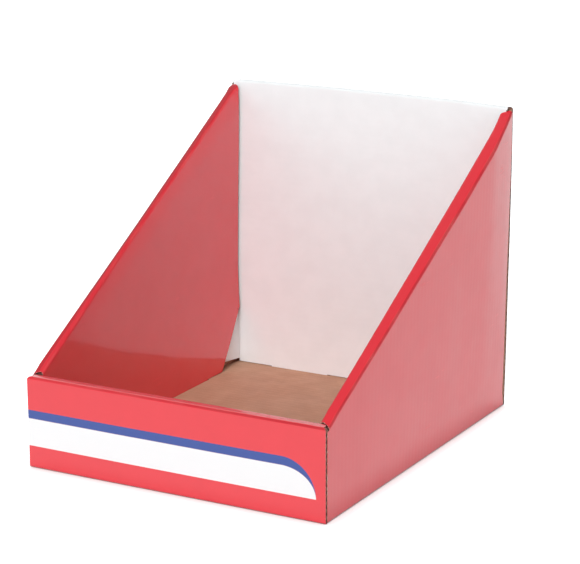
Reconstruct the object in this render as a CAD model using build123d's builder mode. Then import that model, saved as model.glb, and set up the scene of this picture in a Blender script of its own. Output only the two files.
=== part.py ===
"""Counter display tray: one sheet of corrugated board, die-cut, scored and folded.

The floor carries four walls. Each wall rises from a fold at the floor, rolls over at the
top across a narrow spine, and comes down again inside as a second layer that locks into
slots in the floor. The side walls slope up from the low front to the tall back.

Frame: origin at the centre of the footprint, on the ground. +X is the right side seen
from the front, +Y is the back, +Z is up. Millimetres.
"""

import os
from math import atan2, cos, degrees, radians, sin, tan

from build123d import *

os.makedirs("parts", exist_ok=True)

# Outside sizes of the folded tray
outer_width = 305.0
outer_depth = 371.0
front_height = 87.0
side_height = 294.0
back_height = 298.0

# The board and its folds; a fold's outside radius is a little under the board's thickness
board = 3.0
fold_flat = 0.5
layer_clearance = 1.0
panel_slit = 0.5
corner_radius = 4.0

# Space between the two layers of the front and of the back wall
front_hollow = 5.0
back_hollow = 1.0

# Where the sloping top of a side wall starts, behind and below the top front edge
slope_setback = 6.5
slope_drop = 1.0
spine_relief = 2.0

# The inner layer of a side wall, with its cut-off lower rear corner
floor_gap = 1.8
rear_gap = 6.0
notch_height = 60.0
notch_depth = 37.0

# End flaps of the inner front and back panels, tucked into the side walls
flap_floor_gap = 6.0
back_flap_length = 60.0
front_flap_length = 40.0
flap_taper = 12.0
flap_headroom = 12.0

# Locking tabs on the inner panels, and their slots in the floor
tab_length = 66.0
tab_pitch = 148.0
tab_radius = 1.5
tab_tip = 0.5
slot_clearance = 0.3
slot_end_clearance = 3.0

# Worked-out thicknesses of the folded walls
fold_radius = board - fold_flat
side_wall = 3 * board + 2 * layer_clearance
front_wall = 2 * board + front_hollow
back_wall = 2 * board + back_hollow

# Worked-out places
half_width = outer_width / 2
half_depth = outer_depth / 2
side_inner_face = half_width - side_wall
flap_outer_face = half_width - board - layer_clearance
flap_inner_face = flap_outer_face - board
inner_panel_bottom = board + floor_gap
tab_height = inner_panel_bottom + board - tab_tip
flap_bottom = board + flap_floor_gap
front_inner_face = -half_depth + front_wall
back_inner_face = half_depth - back_wall

# The sloping top edge of the side walls
slope_start_y = -half_depth + slope_setback
slope_start_z = front_height - slope_drop
slope_end_y = half_depth - board - panel_slit
slope_angle = degrees(atan2(side_height - slope_start_z, slope_end_y - slope_start_y))
slope_direction = (0, cos(radians(slope_angle)), sin(radians(slope_angle)))
slope_normal = (0, -sin(radians(slope_angle)), cos(radians(slope_angle)))


def slope_z(y):
    """Height of the sloping top edge at a distance y from the middle."""
    return slope_start_z + (y - slope_start_y) * tan(radians(slope_angle))


def along_slope(y):
    """Distance up the sloping edge from its foot to a distance y from the middle."""
    return (y - slope_start_y) / cos(radians(slope_angle))


# Floor panel, with a slot for each locking tab and a slit at each corner
with BuildPart() as floor_panel:
    with BuildSketch(Plane.XY):
        Rectangle(outer_width, outer_depth)
        slot_length = tab_length + 2 * slot_end_clearance
        slot_width = board + 2 * slot_clearance
        for wall_y in (front_inner_face - board / 2, back_inner_face + board / 2):
            with Locations((-tab_pitch / 2, wall_y), (tab_pitch / 2, wall_y)):
                Rectangle(slot_length, slot_width, mode=Mode.SUBTRACT)
        for wall_x in (-side_inner_face - board / 2, side_inner_face + board / 2):
            with Locations((wall_x, -tab_pitch / 2), (wall_x, tab_pitch / 2)):
                Rectangle(slot_width, slot_length, mode=Mode.SUBTRACT)
        slit_x = half_width - board / 2
        slit_y = half_depth - board - panel_slit / 2
        with Locations((-slit_x, -slit_y), (slit_x, -slit_y), (-slit_x, slit_y), (slit_x, slit_y)):
            Rectangle(board, panel_slit, mode=Mode.SUBTRACT)
    extrude(amount=board)

# Front wall: outer panel, spine and inner panel, cut from one folded block
with BuildPart() as front_fold:
    with BuildSketch(Plane.XZ.offset(half_depth)):
        Rectangle(outer_width, front_height, align=(Align.CENTER, Align.MIN))
        fillet(vertices().group_by(Axis.Y)[-1], radius=corner_radius)
    extrude(amount=-front_wall)
    top_edges = edges().filter_by(Axis.X).group_by(Axis.Z)[-1]
    fillet(top_edges, radius=fold_radius)
    with BuildSketch(Plane.YZ):
        with Locations((-half_depth + board, 0)):
            Rectangle(front_hollow, front_height - board, align=(Align.MIN, Align.MIN))
        with Locations((front_inner_face - board, 0)):
            Rectangle(board, inner_panel_bottom, align=(Align.MIN, Align.MIN))
    extrude(amount=half_width, both=True, mode=Mode.SUBTRACT)
    with BuildSketch(Plane.XZ.offset(-front_inner_face)):
        with Locations((-half_width, 0), (half_width, 0)):
            Rectangle(2 * (half_width - flap_outer_face), 2 * (front_height - board))
    extrude(amount=board, mode=Mode.SUBTRACT)
    with BuildSketch(Plane.XY.offset(front_height)):
        with BuildLine():
            Polyline(
                (half_width, -half_depth + board),
                (half_width, front_inner_face),
                (side_inner_face, front_inner_face),
                close=True,
            )
        make_face()
        mirror(about=Plane.YZ)
    extrude(amount=-board, mode=Mode.SUBTRACT)
    with BuildSketch(Plane.XZ.offset(-front_inner_face)):
        with Locations((-tab_pitch / 2, tab_tip), (tab_pitch / 2, tab_tip)):
            Rectangle(tab_length, tab_height, align=(Align.CENTER, Align.MIN))
        fillet(vertices().group_by(Axis.Y)[0], radius=tab_radius)
    extrude(amount=board)

# Back wall, rolled over the same way but with its two layers close together
with BuildPart() as back_fold:
    with BuildSketch(Plane.XZ.offset(-half_depth)):
        Rectangle(outer_width, back_height, align=(Align.CENTER, Align.MIN))
        fillet(vertices().group_by(Axis.Y)[-1], radius=corner_radius)
    extrude(amount=back_wall)
    top_edges = edges().filter_by(Axis.X).group_by(Axis.Z)[-1]
    fillet(top_edges, radius=fold_radius)
    with BuildSketch(Plane.YZ):
        with Locations((half_depth - board, 0)):
            Rectangle(back_hollow, back_height - board, align=(Align.MAX, Align.MIN))
        with Locations((back_inner_face, 0)):
            Rectangle(board, inner_panel_bottom, align=(Align.MIN, Align.MIN))
    extrude(amount=half_width, both=True, mode=Mode.SUBTRACT)
    with BuildSketch(Plane.XZ.offset(-back_inner_face)):
        with Locations((-half_width, 0), (half_width, 0)):
            Rectangle(2 * (half_width - flap_outer_face), 2 * (back_height - board))
    extrude(amount=-board, mode=Mode.SUBTRACT)
    with BuildSketch(Plane.XY.offset(back_height)):
        with BuildLine():
            Polyline(
                (half_width, half_depth - board),
                (half_width, back_inner_face),
                (half_width - back_wall, back_inner_face),
                close=True,
            )
        make_face()
        mirror(about=Plane.YZ)
    extrude(amount=-board, mode=Mode.SUBTRACT)
    with BuildSketch(Plane.XZ.offset(-back_inner_face)):
        with Locations((-tab_pitch / 2, tab_tip), (tab_pitch / 2, tab_tip)):
            Rectangle(tab_length, tab_height, align=(Align.CENTER, Align.MIN))
        fillet(vertices().group_by(Axis.Y)[0], radius=tab_radius)
    extrude(amount=-board)

# End flaps of the inner panels, folded back through a right angle into the side walls
with BuildPart() as end_flaps:
    with BuildSketch(Plane.YZ.offset(flap_inner_face)):
        back_root = back_inner_face + board
        back_tip = back_inner_face - back_flap_length
        with BuildLine():
            Polyline(
                (back_root, flap_bottom),
                (back_tip, flap_bottom + flap_taper),
                (back_tip, slope_z(back_tip) - board - flap_headroom),
                (back_root, slope_z(back_tip) - board),
                close=True,
            )
        make_face()
        front_root = front_inner_face - board
        front_tip = front_inner_face + front_flap_length
        front_flap_top = front_height - board - layer_clearance
        with BuildLine():
            Polyline(
                (front_root, flap_bottom),
                (front_tip, flap_bottom + flap_taper),
                (front_tip, front_flap_top - flap_taper),
                (front_root, front_flap_top),
                close=True,
            )
        make_face()
    extrude(amount=board)
    mirror(about=Plane.YZ)

# Side walls: outer panel, inner panel with its tabs, and the sloping spine between them
with BuildPart() as side_folds:
    outer_front = -half_depth + board + panel_slit
    under_spine = front_height - board - layer_clearance
    with BuildSketch(Plane.YZ.offset(half_width - board)):
        with BuildLine():
            Polyline(
                (outer_front, 0),
                (outer_front, under_spine),
                (slope_start_y, under_spine),
                (slope_start_y, slope_start_z),
                (slope_end_y, side_height),
                (slope_end_y, 0),
                close=True,
            )
        make_face()
    extrude(amount=board)
    inner_front = front_inner_face + panel_slit
    inner_back = back_inner_face - rear_gap
    with BuildSketch(Plane.YZ.offset(side_inner_face)):
        with BuildLine():
            Polyline(
                (inner_front, inner_panel_bottom),
                (inner_front, slope_z(inner_front)),
                (inner_back, slope_z(inner_back)),
                (inner_back, inner_panel_bottom + notch_height),
                (inner_back - notch_depth, inner_panel_bottom),
                close=True,
            )
        make_face()
        with Locations((-tab_pitch / 2, tab_tip), (tab_pitch / 2, tab_tip)):
            RectangleRounded(tab_length, tab_height, tab_radius, align=(Align.CENTER, Align.MIN))
    extrude(amount=board)
    spine_start = Vector(half_width, slope_start_y, slope_start_z)
    spine_top_relief = spine_relief + board * tan(radians(slope_angle))
    with BuildSketch(Plane(origin=spine_start, x_dir=slope_direction, z_dir=slope_normal)):
        with BuildLine():
            Polyline(
                (spine_relief, 0),
                (along_slope(inner_front) + spine_relief, side_wall),
                (along_slope(inner_back) - spine_top_relief, side_wall),
                (along_slope(slope_end_y) - spine_top_relief, 0),
                close=True,
            )
        make_face()
    extrude(amount=-board)
    slope_edges = edges().filter_by(Axis((0, 0, 0), slope_direction)).group_by(Axis.X)
    inner_crease = slope_edges[0].sort_by(SortBy.LENGTH)[-1]
    outer_crease = slope_edges[-1].sort_by(SortBy.LENGTH)[-1]
    fillet([inner_crease, outer_crease], radius=fold_radius)
    mirror(about=Plane.YZ)

# The folded sheet as one piece, with the scored folds along the ground rounded
with BuildPart() as display_tray:
    add(floor_panel.part)
    add(front_fold.part)
    add(back_fold.part)
    add(end_flaps.part)
    add(side_folds.part)
    ground_edges = edges().group_by(Axis.Z)[0]
    along_x = ground_edges.filter_by(Axis.X).group_by(Axis.Y)
    along_y = ground_edges.filter_by(Axis.Y).group_by(Axis.X)
    fillet(along_x[0] + along_x[-1] + along_y[0] + along_y[-1], radius=fold_radius)

display_tray.part.label = "display_tray"
export_step(display_tray.part, "parts/display_tray.step")
print("solids", len(display_tray.solids()), "volume mm3", round(display_tray.part.volume))
print("size", display_tray.part.bounding_box().size)
print("slope angle", round(slope_angle, 2))
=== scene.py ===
# %% [markdown]
# # A counter display tray, folded from one sheet of corrugated board
# The imported model gives the tray's true size and place. Everything here is built around it:
# first the frame is loaded, and its box is kept.

# %% Load the frame
from functools import partial
from math import acos, asin, atan2, ceil, cos, degrees, pi, radians, sin, sqrt, tan

import bmesh
import bpy
import numpy as np
from mathutils import Matrix, Vector, noise
from mathutils.geometry import delaunay_2d_cdt


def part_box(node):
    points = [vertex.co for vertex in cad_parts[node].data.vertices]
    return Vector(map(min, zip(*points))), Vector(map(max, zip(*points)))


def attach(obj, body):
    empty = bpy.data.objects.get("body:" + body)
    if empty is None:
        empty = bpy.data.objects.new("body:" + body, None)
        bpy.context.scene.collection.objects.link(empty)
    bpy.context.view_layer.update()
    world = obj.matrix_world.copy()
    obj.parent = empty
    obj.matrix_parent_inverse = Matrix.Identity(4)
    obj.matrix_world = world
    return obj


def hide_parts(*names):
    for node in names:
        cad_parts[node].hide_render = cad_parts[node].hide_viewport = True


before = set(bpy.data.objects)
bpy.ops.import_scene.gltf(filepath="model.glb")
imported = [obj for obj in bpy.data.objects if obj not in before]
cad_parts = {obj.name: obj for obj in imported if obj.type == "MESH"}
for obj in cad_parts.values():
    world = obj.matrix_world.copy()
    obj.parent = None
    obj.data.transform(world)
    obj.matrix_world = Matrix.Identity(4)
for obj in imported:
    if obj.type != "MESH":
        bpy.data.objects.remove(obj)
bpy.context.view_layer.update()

MM = 0.001
BODY = "root"

low, high = (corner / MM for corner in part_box("display_tray"))
print("tray in the frame, mm:", [round(size) for size in high - low])

# %% [markdown]
# ## The camera
# The camera stands where the photograph was taken from: high on the front right side, far off,
# with a long lens. A long lens keeps the tray's parallel edges nearly parallel. The direction
# is written as two angles and a slight roll, because those are what a photographer would say.

# %% Camera
azimuth, elevation, roll = radians(29.11), radians(15.17), radians(-0.20)
camera_place = Vector((1.02382, -1.81081, 0.71319))

camera_data = bpy.data.cameras.new("photo_camera")
camera_data.sensor_width = 36.0
camera_data.lens = 143.99
camera = bpy.data.objects.new("photo_camera", camera_data)
bpy.context.scene.collection.objects.link(camera)
bpy.context.scene.camera = camera

backwards = Vector((sin(azimuth) * cos(elevation), -cos(azimuth) * cos(elevation), sin(elevation)))
level_right = Vector((cos(azimuth), sin(azimuth), 0))
level_up = backwards.cross(level_right)
right = cos(roll) * level_right + sin(roll) * level_up
up = cos(roll) * level_up - sin(roll) * level_right
turned = Matrix((right, up, backwards)).transposed().to_4x4()
camera.matrix_world = Matrix.Translation(camera_place) @ turned
tray_middle = Vector((0, 0, high.z / 2 * MM))
print("camera stands", round((camera_place - tray_middle).length, 2), "m from the tray's middle")

# %% [markdown]
# ## The board and its folds
# The real tray is a flat die-cut blank: the floor in the middle and a wall along each side.
# Every wall stands up from a fold at the ground, rolls over at the top across a narrow spine,
# and comes down inside. It could be modelled as boxes joined together, but then the print, the
# flutes and the raw edges would not run on across the folds. So the blank is drawn flat, cut,
# and folded here point by point: each point of the blank gets a place on the printed face and
# a place on the plain face, three millimetres apart.
#
# All sizes are in millimetres until the mesh is made. A fold has one radius on its printed side
# and none inside. The folds at the ground are pressed tighter than an arc. The side walls start
# a little behind the front's face and a little under its top, and rise in one straight slope.

# %% Sizes of the sheet
BOARD = 3.0
FOLD = 2.5
QUARTER = FOLD * pi / 2
TIGHT = 0.55
CORNER = 3.0
LAYER_GAP, FLOOR_GAP = 1.0, 0.6
SLIT = 0.5
SETBACK, STEP_DOWN, SLOPE_TOP = 6.5, 1.0, 294.0

half_width, half_depth = high.x, high.y
back_height, front_height = high.z, 87.0
side_wall, front_wall, back_wall = 11.0, 11.0, 7.0
slope_start = Vector((-half_depth + SETBACK, front_height - STEP_DOWN))
slope_end = Vector((half_depth - BOARD - SLIT, SLOPE_TOP))
slope_angle = atan2(slope_end.y - slope_start.y, slope_end.x - slope_start.x)
inner_bottom = BOARD + FLOOR_GAP
flap_face = half_width - BOARD - LAYER_GAP
print("slope of the side walls, degrees:", round(degrees(slope_angle), 2))

# %% [markdown]
# A fold is a quarter turn. On its outside the paper goes round in an arc, on its inside the
# board is crushed into a sharp line. Points are kept in a small flat mesh, with their two
# folded places beside them, so that neighbouring panels can be stitched by the flat blank. The
# layers also carry how worn a fold is there, how sharply it is creased, and how deep a cut edge
# opens between its two papers.

# %% The blank as a flat mesh
blank = bmesh.new()
printed_layer = blank.verts.layers.float_vector.new("printed")
plain_layer = blank.verts.layers.float_vector.new("plain")
fold_layer = blank.verts.layers.float.new("fold")
# The crease strength also sets how much painted shade darkens the ink along a fold.
crease_layer = blank.verts.layers.float.new("crease")
depth_layer = blank.verts.layers.float.new("depth")
RED, WHITE = 0, 1
SHALLOW, DEEP, DEEPEST = 0.8, 1.2, 1.5
WORN = (0.0, 0.6, 1.0, 1.0, 0.6)


def add_points(points, fold=0.0, depth=SHALLOW):
    """Adds folded points (printed, plain, flat) and returns their vertices on the blank."""
    made = []
    for printed, plain, flat in points:
        vertex = blank.verts.new((flat[0], flat[1], 0))
        vertex[printed_layer], vertex[plain_layer] = printed, plain
        vertex[fold_layer], vertex[depth_layer] = fold, depth
        made.append(vertex)
    return made


def add_strip(rows, columns, finish, depth=SHALLOW, creases=()):
    """A band across a fold: each row is a function of a share 0..1 along the fold. The middle of
    each arc is marked as fold, where print rubs and cracks. A crease is (row, its strength at
    the start of the fold, its strength at the end)."""
    lines = []
    for number, row in enumerate(rows):
        from_start = min(number, len(rows) - 1 - number)
        bent = WORN[from_start] if from_start < len(WORN) else 0.0
        lines.append(add_points([row(k / columns) for k in range(columns + 1)], bent, depth))
    # A crease's strength later dents the fold and darkens its ink as painted shade.
    for number, at_start, at_end in creases:
        for k, vertex in enumerate(lines[number]):
            vertex[crease_layer] = at_start + (at_end - at_start) * k / columns
    for below, above in zip(lines, lines[1:]):
        for k in range(columns):
            face = blank.faces.new((below[k], below[k + 1], above[k + 1], above[k]))
            face.material_index = finish


print("layers of the blank:", len(blank.verts.layers.float) + len(blank.verts.layers.float_vector))

# %% [markdown]
# The outlines of the panels are drawn as points along straight lines and arcs. The points lie
# close together, so that an edge can bow and be stitched to its neighbour point by point.

# %% Points along lines and arcs
STEP = 6.0
HAIR = 0.01


def line(start, end, pieces):
    """Evenly spaced points from start to end."""
    return [Vector(start).lerp(Vector(end), k / pieces) for k in range(pieces + 1)]


def path(*corners, step=STEP):
    """Points along straight runs through the corners, no further apart than step."""
    made = [Vector(corners[0])]
    for start, end in zip(corners, corners[1:]):
        run = (Vector(end) - Vector(start)).length
        made += line(start, end, max(1, ceil(run / step)))[1:]
    return made


def arc(centre, radius, start, end, pieces=4):
    """Points of an arc, its angles in degrees."""
    angles = [radians(start + (end - start) * k / pieces) for k in range(pieces + 1)]
    return [Vector((centre[0] + radius * cos(a), centre[1] + radius * sin(a))) for a in angles]


print("points on a rounded corner:", len(arc((0, 0), CORNER, 0, 90)))

# %% [markdown]
# A panel is filled with points that lie inside its outline and outside its holes. A point is
# inside when a line from it to one side crosses the edges an odd number of times. The distance
# to the nearest edge says whether there is room for the point.

# %% Inside or outside
def distances(points, loops):
    """Distance of each point to the nearest edge of the loops, and whether it is inside."""
    nearest = np.full(len(points), np.inf)
    inside = np.zeros(len(points), bool)
    px, py = points[:, 0], points[:, 1]
    for loop in loops:
        ends = np.roll(loop, -1, axis=0)
        for (ax, ay), (bx, by) in zip(loop, ends):
            run = np.array((bx - ax, by - ay))
            share = ((px - ax) * run[0] + (py - ay) * run[1]) / max(run @ run, 1e-12)
            share = share.clip(0, 1)
            away = np.hypot(px - ax - share * run[0], py - ay - share * run[1])
            nearest = np.minimum(nearest, away)
            if ay != by:
                crossing = (ay > py) != (by > py)
                inside ^= crossing & (px < (bx - ax) * (py - ay) / (by - ay) + ax)
    return nearest, inside


unit_square = np.array([(0.0, 0.0), (1.0, 0.0), (1.0, 1.0), (0.0, 1.0)])
print("middle of a unit square:", distances(np.array([(0.5, 0.5)]), [unit_square]))

# %% [markdown]
# The points are joined by triangles. A ring of points just inside each edge gives wear along the
# edges something to fade over, and an even grid lets the panel bow.

# %% Fill a panel
RING, RING_CLEAR = 2.0, 1.7
SPACING, CLEAR = 9.0, 5.0
FILL_ALL, SAME_SPOT = 0, 1e-4


def without_repeats(points, nearest=0.02):
    """The outline without points that repeat the one before."""
    pairs = zip(points, [points[-1]] + points[:-1])
    return [point for point, before in pairs if (point - before).length > nearest]


def add_panel(outline, place, finish, holes=(), depth=SHALLOW):
    """Fills an outline with triangles and folds every point with place(a, b)."""
    loops = [np.array([tuple(p) for p in without_repeats(loop)], float) for loop in (outline, *holes)]
    edges, fixed = [], np.concatenate(loops)
    start = 0
    for loop in loops:
        count = len(loop)
        edges += [(start + k, start + (k + 1) % count) for k in range(count)]
        start += count
    ring = []
    for loop in loops:
        along = np.roll(loop, -1, axis=0) - np.roll(loop, 1, axis=0)
        along /= np.linalg.norm(along, axis=1)[:, None]
        across = np.stack((-along[:, 1], along[:, 0]), axis=1)
        ring += [loop + RING * across, loop - RING * across]
    low_corner, high_corner = fixed.min(0), fixed.max(0)
    grid = np.stack(np.meshgrid(*[np.arange(a + SPACING / 2, b, SPACING) for a, b in
                                  zip(low_corner, high_corner)]), -1).reshape(-1, 2)
    chosen = [fixed]
    for candidates, clearance in ((np.concatenate(ring), RING_CLEAR), (grid, CLEAR)):
        near, inside = distances(candidates, loops)
        chosen.append(candidates[inside & (near > clearance)])
    points = np.concatenate(chosen)
    spots = [Vector(p) for p in points]
    made, _, faces, _, _, _ = delaunay_2d_cdt(spots, edges, [], FILL_ALL, SAME_SPOT)
    centres = np.array([np.mean([made[k] for k in face], axis=0) for face in faces])
    inside = distances(centres, loops)[1]
    vertices = add_points([place(*p) for p in made], depth=depth)
    for face, keep in zip(faces, inside):
        if keep:
            blank.faces.new([vertices[k] for k in face]).material_index = finish


print("inside a panel: a ring at", RING, "mm and a grid of", SPACING, "mm")

# %% [markdown]
# ## One description for all four walls
# The front and back walls have level tops, the side walls sloping ones. With a slope of zero
# the same folding serves for all, so a wall is described once: where it stands, which way it
# runs, how thick it is and where its top starts.

# %% A wall and how it folds
class Wall:
    """One wall of the tray, from its fold at the ground to its inner panel."""

    def __init__(self, along, outward, reach, thickness, start, angle, bow, inner_bow):
        self.along, self.outward, self.reach = Vector(along), Vector(outward), reach
        self.thickness, self.start, self.angle = thickness, Vector(start), angle
        self.bow, self.inner_bow = bow, inner_bow
        self.roll_length = 2 * QUARTER + thickness - 2 * FOLD

    def to_slope(self, t, z):
        """Wall coordinates (along, up) as distances along the top edge and above it."""
        t, z = t - self.start.x, z - self.start.y
        return t * cos(self.angle) + z * sin(self.angle), z * cos(self.angle) - t * sin(self.angle)

    def from_slope(self, c, e):
        """The reverse of to_slope."""
        return (self.start.x + c * cos(self.angle) - e * sin(self.angle),
                self.start.y + c * sin(self.angle) + e * cos(self.angle))

    def space(self, t, inward, z):
        """A point in space: along the wall, inward from its outer face, and up."""
        return self.along * t + self.outward * (self.reach - inward) + Vector((0, 0, z))

    def flat(self, t, z):
        """Where a point of the outer panel, or one beyond its top, lies on the flat blank."""
        spot = self.along * t + self.outward * (self.reach - FOLD + QUARTER + z - FOLD)
        return spot.xy

    def swell(self, t, z, inward=0.0):
        """How far the panels bow out of flat: the outer layer most, the inner one a little."""
        share = inward / self.thickness
        return self.outward * (self.bow(t, z) * (1 - share) + self.inner_bow(t, z) * share)

    def ground(self, turn, share_to_t, share):
        """A row of the fold at the ground, at a turn of 0 to 90 degrees, pressed tighter than an arc."""
        t = share_to_t(share)
        down, out = -cos(turn) ** TIGHT, sin(turn) ** TIGHT
        printed = self.space(t, FOLD - FOLD * out, FOLD + FOLD * down)
        spot = self.along * t + self.outward * (self.reach - FOLD + FOLD * turn)
        return printed, self.space(t, BOARD, BOARD), spot.xy

    def outer(self, t, z):
        """A point of the outer panel."""
        c, e = self.to_slope(t, z)
        plain_t, plain_z = self.from_slope(c, min(e, -BOARD))
        plain_z = max(plain_z, BOARD)
        push = self.swell(t, z)
        return self.space(t, 0, z) + push, self.space(plain_t, BOARD, plain_z) + push, self.flat(t, z)

    def inner(self, t, z):
        """A point of the inner panel, whose print faces into the tray."""
        c, e = self.to_slope(t, z)
        plain_t, plain_z = self.from_slope(c, min(e, -BOARD))
        push = self.swell(t, z, self.thickness)
        beyond = self.roll_length - FOLD - FOLD - e
        return (self.space(t, self.thickness, z) + push,
                self.space(plain_t, self.thickness - BOARD, plain_z) + push,
                self.flat(*self.from_slope(c, beyond)))

    def top(self, place, ends, plain_ends, share):
        """A row of the roll-over. place is (distance in from the outer face, height under the
        top edge, distance on the blank, plain distance in)."""
        inward, under, rolled, plain_inward = place
        c = ends[0] + (ends[1] - ends[0]) * share
        plain_c = plain_ends[0] + (plain_ends[1] - plain_ends[0]) * share
        t, z = self.from_slope(c, -under)
        plain_t, plain_z = self.from_slope(plain_c, -BOARD)
        printed = self.space(t, inward, z) + self.swell(*self.from_slope(c, -FOLD), inward)
        plain = self.space(plain_t, plain_inward, plain_z)
        plain += self.swell(*self.from_slope(plain_c, -FOLD), plain_inward)
        return printed, plain, self.flat(*self.from_slope(c, rolled - FOLD))


print("a quarter turn takes up", round(QUARTER, 2), "mm of paper")

# %% [markdown]
# Each fold is a strip of rows, one for each small turn of the board. The fold at the ground is
# one quarter turn. The top has two, with the flat spine between them.

# %% Folds of a wall
TURNS = [pi / 2 * k / 5 for k in range(6)]


def ground_fold(wall, t_ends, columns, finish):
    """The fold at the ground along one side of the floor."""
    def to_t(share):
        return t_ends[0] + (t_ends[1] - t_ends[0]) * share

    add_strip([partial(wall.ground, turn, to_t) for turn in TURNS], columns, finish)


def roll_over(wall, ends_at, plain_ends_at, flats, columns, finish, depth, creases):
    """The two folds at a wall's top with the spine between them.
    ends_at(inward, under, stage) gives where a row starts and ends along the top edge."""
    rows = []
    last = wall.thickness - FOLD
    for turn in TURNS:
        inward, under = FOLD * (1 - cos(turn)), FOLD * (1 - sin(turn))
        rows.append(((inward, under, FOLD * turn, BOARD), ends_at(inward, under), plain_ends_at(BOARD)))
    for inward in flats:
        plain_inward = min(max(inward, BOARD), wall.thickness - BOARD)
        rows.append(((inward, 0, QUARTER + inward - FOLD, plain_inward), ends_at(inward, 0),
                     plain_ends_at(plain_inward)))
    plain_last = wall.thickness - BOARD
    for turn in TURNS:
        inward, under = last + FOLD * sin(turn), FOLD * (1 - cos(turn))
        rolled = wall.roll_length - QUARTER + FOLD * turn
        rows.append(((inward, under, rolled, plain_last), ends_at(inward, under),
                     plain_ends_at(plain_last)))
    add_strip([partial(wall.top, *row) for row in rows], columns, finish, depth, creases)
    return rows[0][1], rows[-1][1]


print("turns of a fold, degrees:", [round(degrees(turn)) for turn in TURNS])

# %% [markdown]
# Board that has been folded and handled is never quite flat. The long sloping side panels belly
# outwards, held at the floor and at both ends, the right one much more than the left, and its
# outer panel more than its inner one. The front bulges a little, and the back's two panels part
# in the middle. The bow is real geometry, because the varnish shows it in every reflection.

# %% Bows of the walls
def hump(value, start, end):
    """0 at start and end, 1 half-way, with soft ends."""
    share = min(max((value - start) / (end - start), 0), 1)
    return sin(pi * share)


def side_bow(amount, rise, fall):
    """A belly that swells from the front over the share rise and is held over the share fall."""
    rear_roundness, foot_roundness = 0.7, 0.8

    def bow(t, z):
        share = min(max((t + half_depth) / (2 * half_depth), 0), 1)
        along = sin(pi / 2 * min(share / rise, 1)) * min((1 - share) / fall, 1) ** rear_roundness
        top = slope_start.y + (t - slope_start.x) * tan(slope_angle)
        return amount * along * min(max(z / top, 0), 1) ** foot_roundness

    return bow


def level_bow(amount, height):
    """A bulge in the middle of the front or back wall."""
    return lambda t, z: amount * hump(t, -half_width, half_width) * hump(z, 0, height)


def no_bow(t, z):
    """A panel that stays flat."""
    return 0.0


slope_foot = (slope_start.x, slope_start.y)
right_wall = Wall((0, 1, 0), (1, 0, 0), half_width, side_wall, slope_foot, slope_angle,
                  bow=side_bow(amount=6.4, rise=0.7, fall=0.14),
                  inner_bow=side_bow(amount=3.65, rise=0.6, fall=0.08))
left_wall = Wall((0, 1, 0), (-1, 0, 0), half_width, side_wall, slope_foot, slope_angle,
                 bow=side_bow(amount=0.8, rise=0.6, fall=0.1),
                 inner_bow=side_bow(amount=0.2, rise=0.6, fall=0.1))
front = Wall((1, 0, 0), (0, -1, 0), half_depth, front_wall, (0, front_height), 0.0,
             bow=level_bow(0.6, front_height), inner_bow=no_bow)
back = Wall((1, 0, 0), (0, 1, 0), half_depth, back_wall, (0, back_height), 0.0,
            bow=level_bow(0.8, back_height), inner_bow=level_bow(-0.8, back_height))
print("outward bow half-way along the right wall's top, mm:", round(right_wall.bow(0, SLOPE_TOP), 2))

# %% [markdown]
# ## The floor
# The floor lies with its plain brown face up and its white print on the counter. Eight slots
# take the locking tabs. A narrow slit at each corner frees the side walls from the others.

# %% Floor panel
side_end = half_depth - BOARD - SLIT
floor_x, floor_y = half_width - FOLD, half_depth - FOLD
side_columns, level_columns = ceil(2 * side_end / STEP), ceil(2 * half_width / STEP)
tab_length, tab_pitch, tab_tip, tab_radius = 66.0, 148.0, 0.5, 1.5
slot_play, slot_spare = 0.6, 6.0
slot_width, slot_length = BOARD + slot_play, tab_length + slot_spare


def floor_place(x, y):
    """A point of the floor: printed face down, plain face up."""
    beside_slit = abs(y) <= side_end + HAIR
    plain_x = min(max(x, BOARD - half_width), half_width - BOARD) if beside_slit else x
    plain_y = min(max(y, BOARD - half_depth), half_depth - BOARD)
    return Vector((x, y, 0)), Vector((plain_x, plain_y, BOARD)), (x, y)


def slot_hole(x, y, width, length):
    """A slot in the floor, round its centre."""
    a, b = width / 2, length / 2
    return path((x - a, y - b), (x + a, y - b), (x + a, y + b), (x - a, y + b), (x - a, y - b))


slit_end = half_width - BOARD
slit_far = half_depth - BOARD
corner = [(floor_x, side_end), (slit_end, side_end), (slit_end, slit_far), (half_width, slit_far),
          (half_width, floor_y)]
mirrored = [(-x, y) for x, y in reversed(corner)]
floor_outline = (line((floor_x, -side_end), (floor_x, side_end), side_columns)
                 + path(*corner)[1:]
                 + line((half_width, floor_y), (-half_width, floor_y), level_columns)[1:]
                 + path(*mirrored)[1:]
                 + line((-floor_x, side_end), (-floor_x, -side_end), side_columns)[1:]
                 + path(*[(-x, -y) for x, y in corner])[1:]
                 + line((-half_width, -floor_y), (half_width, -floor_y), level_columns)[1:]
                 + path(*[(-x, -y) for x, y in mirrored])[1:])
slots = []
for side in (-1, 1):
    tab_centre = side * tab_pitch / 2
    slots.append(slot_hole(tab_centre, front_wall - BOARD / 2 - half_depth, slot_length, slot_width))
    slots.append(slot_hole(tab_centre, half_depth - back_wall + BOARD / 2, slot_length, slot_width))
    for wall_x in (half_width - side_wall + BOARD / 2, side_wall - BOARD / 2 - half_width):
        slots.append(slot_hole(wall_x, tab_centre, slot_width, slot_length))
add_panel(floor_outline, floor_place, WHITE, slots)
for wall in (right_wall, left_wall):
    ground_fold(wall, (-side_end, side_end), side_columns, RED)
ground_fold(front, (-half_width, half_width), level_columns, RED)
ground_fold(back, (-half_width, half_width), level_columns, WHITE)
print("floor points", len(blank.verts), "slots", len(slots))

# %% [markdown]
# ## Inner panels and their tabs
# An inner panel ends a little above the floor and carries two tabs with rounded corners, which
# lock into the slots. The outline runs along the bottom edge and dips once for each tab.

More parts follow.
